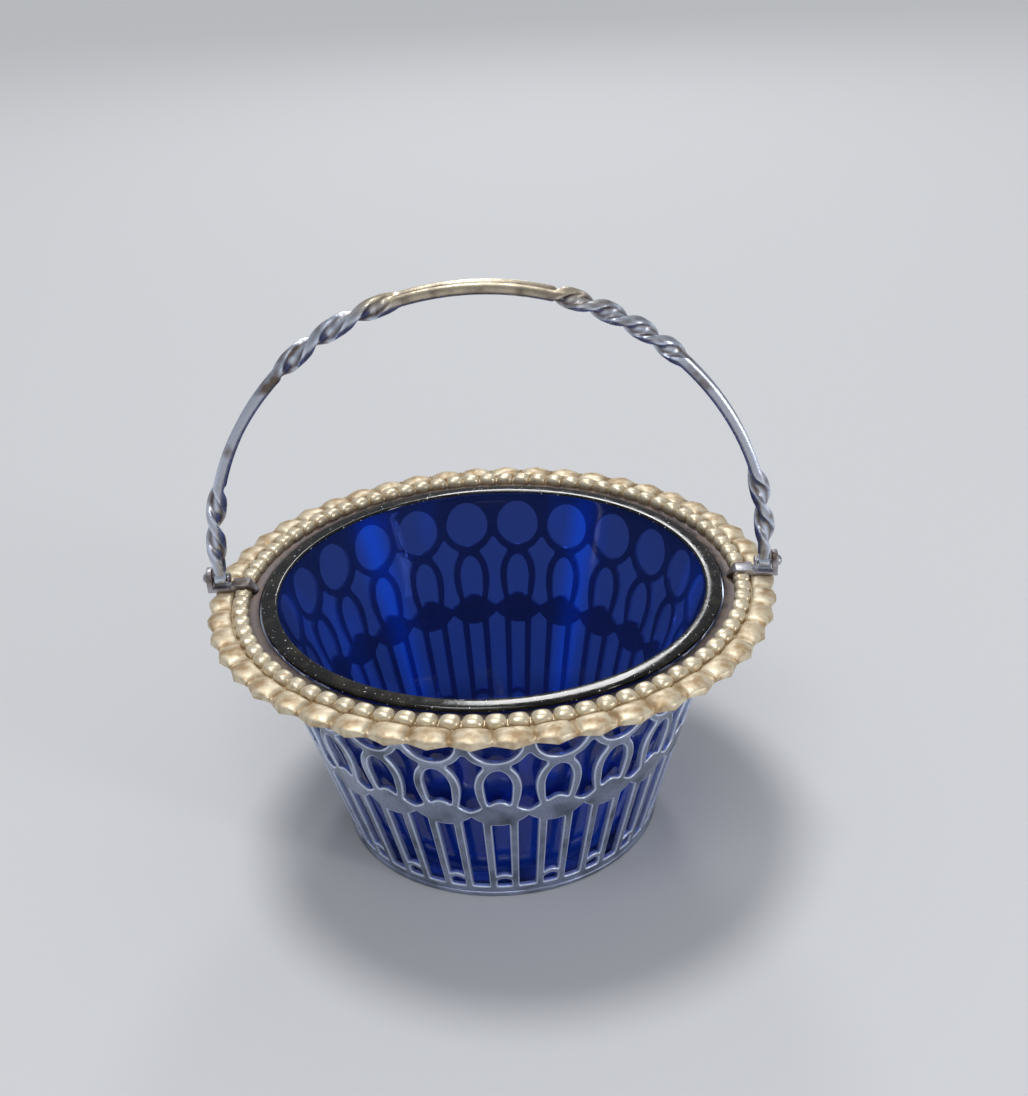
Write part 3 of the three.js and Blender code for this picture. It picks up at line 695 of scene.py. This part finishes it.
class BASKET_OT_wall(bpy.types.Operator):
    """Cut one repeat of the wall with rounded edges, bend it to the cone and carry it round"""

    bl_idname = "basket.wall"
    bl_label = "Pierced wall"
    bl_options = {"REGISTER", "UNDO"}

    def execute(self, context):
        wall = context.scene.basket_wall
        shades = context.scene.basket_finishes
        side = math.pi / wall.repeats
        scale = wall.top_radius
        low, high = WALL_BOX[0].z, WALL_BOX[1].z
        # The flat sheet reaches past its repeat on either side, and is cut to it afterwards
        sheet_end = 1.7 * side
        about_middle, about_side = openings(wall)
        rings = [[(-sheet_end, low), (sheet_end, low), (sheet_end, high), (-sheet_end, high)]]
        rings += about_middle + about_side
        rings += [[(a - 2 * side, z) for a, z in ring] for ring in about_side]
        flat = [[(a * scale, z) for a, z in ring] for ring in rings]
        flat = [flat[0]] + [softened(ring, wall.corner) for ring in flat[1:]]
        # Each cut edge as steps of (reach into the metal, depth): rounded in front, bevelled behind
        steps = []
        for turn in (0, 30, 60, 90):
            t = math.radians(turn)
            steps.append((wall.edge * (1 - math.sin(t)), wall.edge_depth * (1 - math.cos(t))))
        steps += [(0, wall.thickness - 0.5 * wall.edge), (0.5 * wall.edge, wall.thickness)]
        # The front and the back, then the walls of the openings between them
        pieces = []
        for reach, depth in (steps[0], steps[-1]):
            face = filled([widened(flat[0], -reach)] + [widened(ring, reach) for ring in flat[1:]])
            for vertex in face.data.vertices:
                vertex.co.z = depth
            pieces.append(face)
        for number, ring in enumerate(flat):
            inwards = -1 if number == 0 else 1
            levels = [(widened(ring, inwards * reach), depth) for reach, depth in steps]

            def cut(row, column):
                """A point of the opening's wall, which closes on itself."""
                points, depth = levels[row]
                return (*points[column % len(points)], depth)

            pieces.append(laid_out(len(steps) - 1, len(ring), cut))
        sheet = join(pieces)

        edit(sheet)
        for sign in (-1, 1):
            bpy.ops.mesh.select_all(action="SELECT")
            bpy.ops.mesh.bisect(
                plane_co=(sign * side * scale, 0, 0),
                plane_no=(sign, 0, 0),
                clear_outer=True,
                threshold=0.1 * HAIR,
            )
        columns = 10
        for i in range(1, columns):
            bpy.ops.mesh.select_all(action="SELECT")
            place = ((2 * i / columns - 1) * side * scale, 0, 0)
            bpy.ops.mesh.bisect(plane_co=place, plane_no=(1, 0, 0), threshold=HAIR)
        deselect()

        for vertex in sheet.data.vertices:
            turn = vertex.co.x / scale + wall.turn + side
            height = vertex.co.y
            vertex.co = polar(wall_radius(wall, height) - vertex.co.z, turn, height)
        round_about(sheet, wall.repeats)
        weld(sheet)
        # What is neither front nor back is a cut edge
        for polygon in sheet.data.polygons:
            corners = [sheet.data.vertices[i].co for i in polygon.vertices]
            depths = [wall_radius(wall, corner.z) - corner.xy.length for corner in corners]
            polygon.material_index = int(max(depths) > HAIR and min(depths) < wall.thickness - HAIR)
        smooth(sheet, 40)
        apply_modifier(sheet, "WEIGHTED_NORMAL", keep_sharp=True, weight=80)
        # The wall's faces take the body colour, with its painted shade and painted blue reflection.
        body = silver("body_silver", shades.body, shades.body_dark, (0.22, 0.42))
        # Every cut edge gets the paler silver: a painted highlight along it.
        edge = silver(
            "painted_highlight_edge_silver",
            shades.edge,
            shades.body,
            (0.3, 0.5),
            blotches=(0.55, 0.8),
            metallic=0.7,
        )
        dress(sheet, "pierced_body", "pierced_wall", "basket", [body, edge])
        return {"FINISHED"}


class BASKET_OT_foot(bpy.types.Operator):
    """Spin the applied foot ring and finish the base plate"""

    bl_idname = "basket.foot"
    bl_label = "Foot ring and base"
    bl_options = {"REGISTER", "UNDO"}

    def execute(self, context):
        wall = context.scene.basket_wall
        shades = context.scene.basket_finishes
        outer = min(RING_BOX[1].x, RING_BOX[1].y) - 2 * HAIR
        inner = outer - wall.foot_width
        top = RING_BOX[1].z - HAIR
        reach = wall.foot_round
        bevel = 0.15 * MM
        profile = [(inner, bevel), (inner + bevel, 0)]
        profile += [(outer - reach + x, reach + z) for x, z in arc(reach, reach, -90, 0, 4)]
        profile += [(outer - reach + x, top - reach + z) for x, z in arc(reach, reach, 0, 90, 4)]
        profile += [(inner, top)]
        ring = turned(profile, 184)
        smooth(ring, 50)
        # The foot ring and the base plate take the body's colours, with their painted shade and painted
        # blue reflection.
        finish = silver("foot_silver", shades.body, shades.body_dark, (0.26, 0.46))
        dress(ring, "base_ring", "foot_ring", "basket", [finish])
        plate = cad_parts["base_plate"]
        dull = silver("base_silver", shades.body, shades.body_dark, (0.3, 0.5), blotch=70)
        plate.data.materials.clear()
        plate.data.materials.append(dull)
        return {"FINISHED"}


def border_radii(context):
    """Radii of the flange's bore, the beads' two edges, the lobes' foot and the lobes' tips."""
    border = context.scene.basket_border
    bore = context.scene.basket_wall.top_radius - border.lap
    bead_inner = bore + border.plain_band
    bead_outer = bead_inner + border.bead_length
    lobe_foot = bead_outer + border.gap
    return bore, bead_inner, bead_outer, lobe_foot, min(BORDER_BOX[1].x, BORDER_BOX[1].y)


def seat_straps(piece, hinges, flange_top):
    """Lowers what stands under the hinge straps to the level of their undersides."""
    half = LUG_BOX[1].y + hinges.clearance
    seat = flange_top + hinges.underside
    for vertex in piece.data.vertices:
        x, y, z = vertex.co
        if abs(y) < half and abs(x) > 0.8 * LUG_BOX[0].x:
            vertex.co.z = min(z, seat)


class BASKET_OT_border(bpy.types.Operator):
    """Shape one lobe of the border from a grid and carry it round"""

    bl_idname = "basket.border"
    bl_label = "Gadrooned border"
    bl_options = {"REGISTER", "UNDO"}

    def execute(self, context):
        border = context.scene.basket_border
        wall = context.scene.basket_wall
        shades = context.scene.basket_finishes
        bore, _, _, lobe_foot, tips = border_radii(context)
        under, crest = BORDER_BOX[0].z, BORDER_BOX[1].z
        top = under + border.flange
        half_lobe = (0, 0.2, 0.4, 0.57, 0.7, 0.78, border.fillet, 0.91, 1)
        across = [-u for u in reversed(half_lobe[1:])] + list(half_lobe)
        # Over the lobe from its tip to its foot in steps, then back under it by its corners
        steps = 14
        below = 10

        def place(row, column):
            """A point of the lobe; across it u runs from -1 to 1, with the ridges at either end."""
            u = across[row]
            point = (1 - abs(u)) ** 1.25
            tip = tips - border.scallop * (1 - point)
            middle = (lobe_foot + tip) / 2
            half = (tip - lobe_foot) / 2
            lip = under + border.flange * (0.6 - 0.35 * point)
            lip_top = lip + 0.3 * border.flange
            if column <= steps:
                t = math.pi * column / steps
                out = (1 + math.cos(t)) / 2
                radius = middle + half * math.cos(t)
                swell = math.sqrt(1 - min(1, abs(u) / border.fillet) ** 2)
                fillet = 0.45 * max(0, (abs(u) - border.fillet) / (1 - border.fillet))
                rise = border.hollow + (crest - top - border.hollow) * max(swell, fillet)
                slope = 1 - 0.25 * out**3
                height = top + rise * slope * math.sin(t) ** 0.38
                if column == 0:
                    height = lip_top
            else:
                edge = border.bore_edge
                corners = [
                    ((lobe_foot + bore) / 2, top),
                    (bore + edge, top),
                    (bore, top - edge),
                    (bore, under + 0.1 * MM),
                    (bore + 0.1 * MM, under),
                    (middle, under),
                    (tip - border.lip, under),
                    (tip - border.lip / 3, lip - 0.2 * border.flange),
                    (tip, lip),
                    (tip, lip_top),
                ]
                radius, height = corners[column - steps - 1]
            return polar(radius, wall.turn + u * math.pi / border.lobes, height)

        def darkness(_, point):
            """A painted dark reflection over the brow of a lobe, and darker in the crease between two.
            """
            turn = math.atan2(point.y, point.x) - wall.turn
            u = abs((turn * border.lobes / math.pi + 1) % 2 - 1)
            out = (point.xy.length - lobe_foot) / (tips - lobe_foot)
            if out <= 0.05:
                return 0.1
            brow = max(0.0, 1 - (u / 0.5) ** 2 - ((out - 0.6) / 0.3) ** 2)
            crease = max(0.0, u - 0.84) / 0.16
            return max(0.45 * brow, 0.6 * crease)

        lobe = laid_out(len(across) - 1, steps + below, place)
        round_about(lobe, border.lobes)
        weld(lobe)
        seat_straps(lobe, context.scene.basket_hinges, top)
        mark(lobe, "tarnish_and_shade", darkness)
        smooth(lobe, 60)
        # The inner half of the plain band gets the band colour: painted shade.
        for polygon in lobe.data.polygons:
            reach = min(lobe.data.vertices[i].co.xy.length for i in polygon.vertices)
            polygon.material_index = int(reach < bore + 0.5 * border.plain_band)
        finish = silver(
            "border_silver",
            shades.border,
            shades.border_dark,
            (0.42, 0.6),
            "tarnish_and_shade",
            blotch=520,
            blotches=(0.42, 0.7),
            metallic=0.6,
        )
        band = silver("painted_shade_band_silver", shades.band, shades.handle_dark, (0.35, 0.55), blotch=400)
        dress(lobe, "gadrooned_edge", "gadroon_border", "basket", [finish, band])
        return {"FINISHED"}


class BASKET_OT_beads(bpy.types.Operator):
    """Draw half a sphere out to an oblong bead and carry it round on its strip"""

    bl_idname = "basket.beads"
    bl_label = "Bead row"
    bl_options = {"REGISTER", "UNDO"}

    def execute(self, context):
        border = context.scene.basket_border
        wall = context.scene.basket_wall
        shades = context.scene.basket_finishes
        _, bead_inner, bead_outer, _, _ = border_radii(context)
        foot, top = BEAD_BOX[0].z, BEAD_BOX[1].z
        circle = (bead_inner + bead_outer) / 2
        half_length = 0.5 * border.bead_length
        half_width = 0.49 * FULL_TURN * circle / border.beads
        bead = start(bpy.ops.mesh.primitive_uv_sphere_add, segments=16, ring_count=12, radius=1)
        edit(bead)
        bpy.ops.mesh.bisect(plane_co=(0, 0, 0), plane_no=(0, 0, 1), clear_inner=True, use_fill=True)
        deselect()
        turn = Matrix.Rotation(wall.turn, 3, "Z")
        for vertex in bead.data.vertices:
            x, y, z = vertex.co
            x = half_length * math.copysign(abs(x) ** 0.6, x)
            y = half_width * math.copysign(abs(y) ** 0.8, y)
            vertex.co = turn @ Vector((circle + x, y, foot + (top - foot) * z**0.55))
        round_about(bead, border.beads)
        weld(bead)
        reach = 0.3 * border.bead_length
        upper_reach = 0.26 * border.bead_length
        section = [
            (circle - reach, foot),
            (circle + reach, foot),
            (circle + upper_reach, foot + border.strip),
            (circle - upper_reach, foot + border.strip),
        ]
        row = join([bead, turned(section, 2 * border.beads)])
        seat_straps(row, context.scene.basket_hinges, foot)
        # Darker towards the beads' foot, where they meet the strip.
        mark(row, "tarnish_and_shade", lambda _, point: max(0.0, 0.8 - 2.2 * (point.z - foot) / (top - foot)))
        smooth(row, 60)
        finish = silver(
            "bead_silver",
            shades.border,
            shades.border_dark,
            (0.3, 0.46),
            "tarnish_and_shade",
            blotch=900,
            blotches=(0.5, 0.8),
            metallic=0.55,
        )
        dress(row, "bead_row", "bead_wire", "basket", [finish])
        return {"FINISHED"}


class BASKET_OT_liner(bpy.types.Operator):
    """Spin the glass liner from its section"""

    bl_idname = "basket.liner"
    bl_label = "Glass liner"
    bl_options = {"REGISTER", "UNDO"}

    def execute(self, context):
        liner = context.scene.basket_liner
        shades = context.scene.basket_finishes
        foot, rim = LINER_BOX[0].z, LINER_BOX[1].z
        outer = min(LINER_BOX[1].x, LINER_BOX[1].y)
        inner = outer - liner.rim_width
        edge = liner.rim_edge
        floor = foot + liner.floor
        inside = liner.heel_radius - liner.wall
        heel = liner.heel_round
        under_rim = BORDER_BOX[0].z + context.scene.basket_border.flange
        side = liner.heel_radius - heel
        profile = [(0, foot)]
        profile += [(side + x, foot + heel + z) for x, z in arc(heel, heel, -90, 0, 6)]
        profile += [(liner.neck_radius, liner.neck_height), (outer, under_rim)]
        profile += [(outer - edge + x, rim - edge + z) for x, z in arc(edge, edge, 0, 90, 5)]
        profile += [(inner + edge + x, rim - edge + z) for x, z in arc(edge, edge, 90, 180, 5)]
        profile += [(liner.neck_radius - liner.wall, liner.neck_height)]
        cove = liner.cove
        profile += [(inside - cove + x, floor + cove + z) for x, z in arc(cove, cove, 0, -90, 8)]
        profile += [(0, floor)]

        def painted_glow(_, point):
            """Painted light in the glass: streaks of painted reflection up the side, and a painted glow
            over the floor.
            """
            turn = math.atan2(point.y, point.x)
            away = min(abs(turn - liner.left_painted_glow), abs(turn - liner.right_painted_glow))
            return max(float(point.z < floor), math.exp(-((away / liner.painted_glow_width) ** 2)))

        bowl = turned(profile, 192)
        for polygon in bowl.data.polygons:
            low = min(bowl.data.vertices[i].co.z for i in polygon.vertices)
            polygon.material_index = int(low > under_rim - HAIR)
        mark(bowl, "clear", painted_glow)
        smooth(bowl, 32)
        glass = cobalt(shades.glass, shades.streak)
        dress(bowl, "glass_bowl", "glass_liner", "liner", [glass, ground_rim()])
        return {"FINISHED"}


class BASKET_OT_hinges(bpy.types.Operator):
    """Cut the two hinge straps and turn their rivets"""

    bl_idname = "basket.hinges"
    bl_label = "Hinges"
    bl_options = {"REGISTER", "UNDO"}

    def strap(self, context):
        """The right strap, as a bar with a pointed inner end and an ear at the outer one."""
        hinge = context.scene.basket_hinges
        _, bead_inner, _, _, _ = border_radii(context)
        half = LUG_BOX[1].y
        tip, end = LUG_BOX[0].x, LUG_BOX[1].x
        flange = LUG_BOX[0].z
        under = flange + hinge.underside
        seat = under + hinge.seat
        top = under + hinge.thickness
        fall_end = bead_inner + hinge.slope
        outline = [
            (tip, flange),
            (bead_inner - hinge.slope, flange),
            (bead_inner, under),
            (end, under),
            (end, seat),
            (hinge.step, seat),
            (hinge.step - 0.5 * hinge.slope, top),
            (fall_end, top),
            (tip, flange + hinge.tip),
        ]
        bar = slab(outline, 2 * half)
        for vertex in bar.data.vertices:
            x, z, y = vertex.co
            narrowing = min(1, 0.25 + 0.75 * (x - tip) / (fall_end - tip))
            vertex.co = (x, (y - half) * narrowing, z)
        weld(bar)
        apply_modifier(bar, "BEVEL", width=0.14 * MM, segments=2, angle_limit=math.radians(25))

        foot = under + 0.5 * hinge.seat
        centre = LUG_BOX[1].z - half
        outline = [(-half, foot), (half, foot)]
        outline += [(x, centre + z) for x, z in arc(half, half, 0, 180, 16)]
        plate = slab(outline, end - hinge.ear)
        for vertex in plate.data.vertices:
            y, z, x = vertex.co
            vertex.co = (hinge.ear + x, y, z)
        weld(plate)
        apply_modifier(plate, "BEVEL", width=0.16 * MM, segments=2, angle_limit=math.radians(40))
        return join([bar, plate])

    def pin(self, context):
        """The right rivet, with a domed head outside and a small one inside."""
        shank = context.scene.basket_hinges.shank
        inner, outer = RIVET_BOX[0].x, RIVET_BOX[1].x
        head = RIVET_BOX[1].z - PIVOT
        small_head = 0.88 * head
        face = LUG_BOX[1].x
        profile = [(0, inner), (0.7 * head, inner), (small_head, inner + 0.12 * MM)]
        profile += [(small_head, inner + 0.3 * MM), (shank, inner + 0.35 * MM), (shank, face)]
        profile += [(head, face)]
        for t in (0.3, 0.6, 0.9, 1.2):
            profile.append((head * math.cos(t), face + (outer - face) * math.sin(t)))
        profile.append((0, outer))
        return lay_on_pivot(turned(profile, 28))

    def execute(self, context):
        shades = context.scene.basket_finishes
        finish = silver("hinge_silver", shades.strap, shades.handle_dark, (0.32, 0.5), blotch=320)
        for side, turn in (("right", 0), ("left", math.pi)):
            for make, kind, node in ((self.strap, "strap", "lug"), (self.pin, "pin", "rivet")):
                piece = make(context)
                piece.data.transform(Matrix.Rotation(turn, 4, "Z"))
                smooth(piece, 40)
                name = f"hinge_{kind}_{side}"
                dress(piece, name, f"{side}_{node}", "basket", [finish])
        return {"FINISHED"}


class BASKET_OT_handle(bpy.types.Operator):
    """Sweep the reeded strap along the bow, twisting it in four places"""

    bl_idname = "basket.handle"
    bl_label = "Twisted handle"
    bl_options = {"REGISTER", "UNDO"}

    def execute(self, context):
        handle = context.scene.basket_handle
        shades = context.scene.basket_finishes
        bow = HANDLE_BOX[1].z - handle.thickness / 2 - PIVOT - handle.leg
        quarter = bow * math.pi / 2
        pivot = quarter + handle.leg
        reach = pivot - handle.strap_end

        def share(distance, low, high):
            """How far a distance has come from low to high, from 0 to 1."""
            return min(1.0, max(0.0, (distance - low) / (high - low)))

        def twist(distance):
            """Turn of the strap at a distance along it from the top of the bow."""
            away = abs(distance)
            turns = handle.turns_left if distance < 0 else handle.turns_right
            upper = turns * share(away, bow * handle.crest, bow * handle.upper_end)
            lower = handle.turns_low * share(away, bow * handle.lower_start, pivot - handle.foot)
            return -math.copysign(math.pi * (upper + lower), distance)

        def section(w, t):
            """The strap's section: rounded edges, and a reed along each side of both faces."""
            recess = w - handle.reed
            dip = t - handle.reed_depth
            corner = [
                (w, 0.3 * t),
                (w - 0.12 * MM, 0.72 * t),
                (w - 0.36 * MM, t),
                (w - 0.56 * MM, 0.97 * t),
                (recess, dip),
                (recess - 0.2 * MM, dip - 0.04 * MM),
                (0, dip - 0.04 * MM),
            ]
            right = [(y, -x) for y, x in reversed(corner)] + corner
            return right + [(-y, x) for y, x in reversed(right[1:-1])]

        rows = 330
        outline = section(handle.width, handle.thickness)
        columns = len(outline)

        def place(row, column):
            """A corner of the section, at its place along the bow and the legs."""
            distance = -reach + 2 * reach * row / rows
            along = max(-quarter, min(quarter, distance))
            turn = along / bow
            outward = Vector((math.sin(turn), 0, math.cos(turn)))
            forward = Vector((math.cos(turn), 0, -math.sin(turn)))
            spot = outward * bow
            spot.z += PIVOT + handle.leg - max(0, abs(distance) - quarter)
            angle = twist(distance)
            spin = Matrix.Rotation(angle, 3, forward)
            rise = pivot - abs(distance)
            swell = handle.swell * abs(math.sin(angle))
            full = (handle.width + swell) / 2
            width = handle.knuckle + (full - handle.knuckle) * min(1, rise / handle.foot)
            y, x = section(width, handle.thickness / 2)[column % columns]
            return spot + spin @ Vector((0, -y, 0)) + (spin @ outward) * x

        def darkness(number, _):
            """Darker on the strap's narrow sides, and tarnished in the recess between its reeds."""
            y, x = outline[number % (columns + 1) % columns]
            if abs(x) < 0.4 * handle.thickness:
                return 0.35
            in_recess = HAIR < abs(y) < handle.width - handle.reed + HAIR
            return 0.75 if in_recess else 0.0

        strap = laid_out(rows, columns, place)
        mark(strap, "tarnish_and_shade", darkness)
        weld(strap, close=True)
        eyes = []
        for sign in (-1, 1):
            low = sign * bow - handle.knuckle_length / 2
            high = low + handle.knuckle_length
            bevel = handle.knuckle_edge
            profile = [
                (handle.bore, low),
                (handle.knuckle - bevel, low),
                (handle.knuckle, low + bevel),
                (handle.knuckle, high - bevel),
                (handle.knuckle - bevel, high),
                (handle.bore, high),
            ]
            eyes.append(lay_on_pivot(turned(profile, 32)))
        strap = join([strap, *eyes])
        smooth(strap, 38)
        # The handle's top blends to the border's warm silver: painted warm light on the part that faces
        # up.
        top = HANDLE_BOX[1].z
        crest = (shades.border, top - handle.painted_light_start, top - handle.painted_light_full)
        finish = silver(
            "handle_silver",
            shades.handle,
            shades.handle_dark,
            (0.24, 0.42),
            "tarnish_and_shade",
            blotch=240,
            blotches=(0.5, 0.8),
            metallic=0.9,
            crest=crest,
        )
        dress(strap, "twisted_handle", "handle", "handle", [finish])
        return {"FINISHED"}


class BASKET_OT_studio(bpy.types.Operator):
    """Lay the floor, hang the lights and set up the camera"""

    bl_idname = "basket.studio"
    bl_label = "Studio"
    bl_options = {"REGISTER", "UNDO"}

    def lamp(self, context, name, azimuth, elevation, power, angle=None, width=None, height=None):
        """A soft lamp that faces the basket: a sun of some angle, or else a panel."""
        towards = polar(1, math.radians(azimuth), math.tan(math.radians(elevation))).normalized()
        deselect()
        place = towards * 1.1 + Vector((0, 0, 0.05))
        bpy.ops.object.light_add(type="SUN" if angle else "AREA", location=place)
        lamp = context.active_object
        lamp.name = name
        lamp.rotation_euler = towards.to_track_quat("Z", "Y").to_euler()
        lamp.data.energy = power
        if angle:
            lamp.data.angle = math.radians(angle)
        else:
            lamp.data.shape = "RECTANGLE"
            lamp.data.size = width
            lamp.data.size_y = height

    def execute(self, context):
        studio = context.scene.basket_studio
        floor = start(
            bpy.ops.mesh.primitive_grid_add,
            x_subdivisions=24,
            y_subdivisions=24,
            size=studio.floor_size,
        )
        floor.name = "floor"
        recipe = Recipe("studio_floor")
        recipe.to("Base Color", (*studio.floor, 1.0))
        recipe.to("Roughness", 0.85)
        floor.data.materials.append(recipe.material)

        world = bpy.data.worlds.new("studio_air")
        context.scene.world = world
        world.use_nodes = True
        background = world.node_tree.nodes["Background"]
        background.inputs["Color"].default_value = (*studio.air, 1)
        background.inputs["Strength"].default_value = studio.air_strength
        # Each lamp's azimuth and elevation in degrees, its power and its size
        self.lamp(context, "top_lamp", 127, 78, 1.35, angle=16)
        self.lamp(context, "back_lamp", 89, 34, 1.6, width=0.20, height=0.20)
        self.lamp(context, "right_lamp", -33, 12, 2.6, width=0.10, height=0.50)
        self.lamp(context, "front_lamp", -98, 60, 2.3, width=0.60, height=0.25)

        camera_data = bpy.data.cameras.new("camera")
        camera = bpy.data.objects.new("camera", camera_data)
        context.scene.collection.objects.link(camera)
        context.scene.camera = camera
        camera_data.sensor_width = 36
        camera_data.lens = studio.lens
        camera_data.clip_start = 0.01
        camera_data.clip_end = 50
        tilt = studio.elevation
        forward = Vector((0, math.cos(tilt), -math.sin(tilt)))
        up = Vector((0, math.sin(tilt), math.cos(tilt)))
        right = Vector((1, 0, 0))
        basis = Matrix((right, up, -forward)).transposed() @ Matrix.Rotation(studio.roll, 3, "Z")
        place = Vector(studio.aim) - forward * studio.distance
        pose = Matrix.Translation(place) @ basis.to_4x4()
        camera.matrix_world = Matrix.Rotation(studio.azimuth, 4, "Z") @ pose
        context.scene.view_settings.view_transform = "Standard"
        return {"FINISHED"}


SETTINGS = {
    "basket_wall": WallSizes,
    "basket_border": BorderSizes,
    "basket_liner": LinerSizes,
    "basket_handle": HandleSizes,
    "basket_hinges": HingeSizes,
    "basket_finishes": Finishes,
    "basket_studio": StudioSettings,
}

OPERATORS = (
    BASKET_OT_foot,
    BASKET_OT_wall,
    BASKET_OT_border,
    BASKET_OT_beads,
    BASKET_OT_liner,
    BASKET_OT_hinges,
    BASKET_OT_handle,
    BASKET_OT_studio,
)


class BASKET_PT_panel(bpy.types.Panel):
    """Lists the basket's pieces and their sizes"""

    bl_idname = "BASKET_PT_panel"
    bl_label = "Swing-handle Basket"
    bl_space_type = "VIEW_3D"
    bl_region_type = "UI"
    bl_category = "Basket"

    def draw(self, context):
        layout = self.layout
        for operator in OPERATORS:
            layout.operator(operator.bl_idname)
        for name in SETTINGS:
            group = getattr(context.scene, name)
            box = layout.box()
            for key in group.__annotations__:
                box.prop(group, key)


def register():
    """Registers the sizes, the operators and the panel."""
    for group in SETTINGS.values():
        bpy.utils.register_class(group)
    for name, group in SETTINGS.items():
        setattr(bpy.types.Scene, name, PointerProperty(type=group))
    for item in (*OPERATORS, BASKET_PT_panel):
        bpy.utils.register_class(item)


def unregister():
    """Takes all of them away again."""
    for item in reversed((*OPERATORS, BASKET_PT_panel)):
        bpy.utils.unregister_class(item)
    for name, group in SETTINGS.items():
        delattr(bpy.types.Scene, name)
        bpy.utils.unregister_class(group)


def main():
    """Builds the basket and its studio."""
    register()
    bpy.ops.basket.foot()
    bpy.ops.basket.wall()
    bpy.ops.basket.border()
    bpy.ops.basket.beads()
    bpy.ops.basket.liner()
    bpy.ops.basket.hinges()
    bpy.ops.basket.handle()
    bpy.ops.basket.studio()


if __name__ == "__main__":
    main()
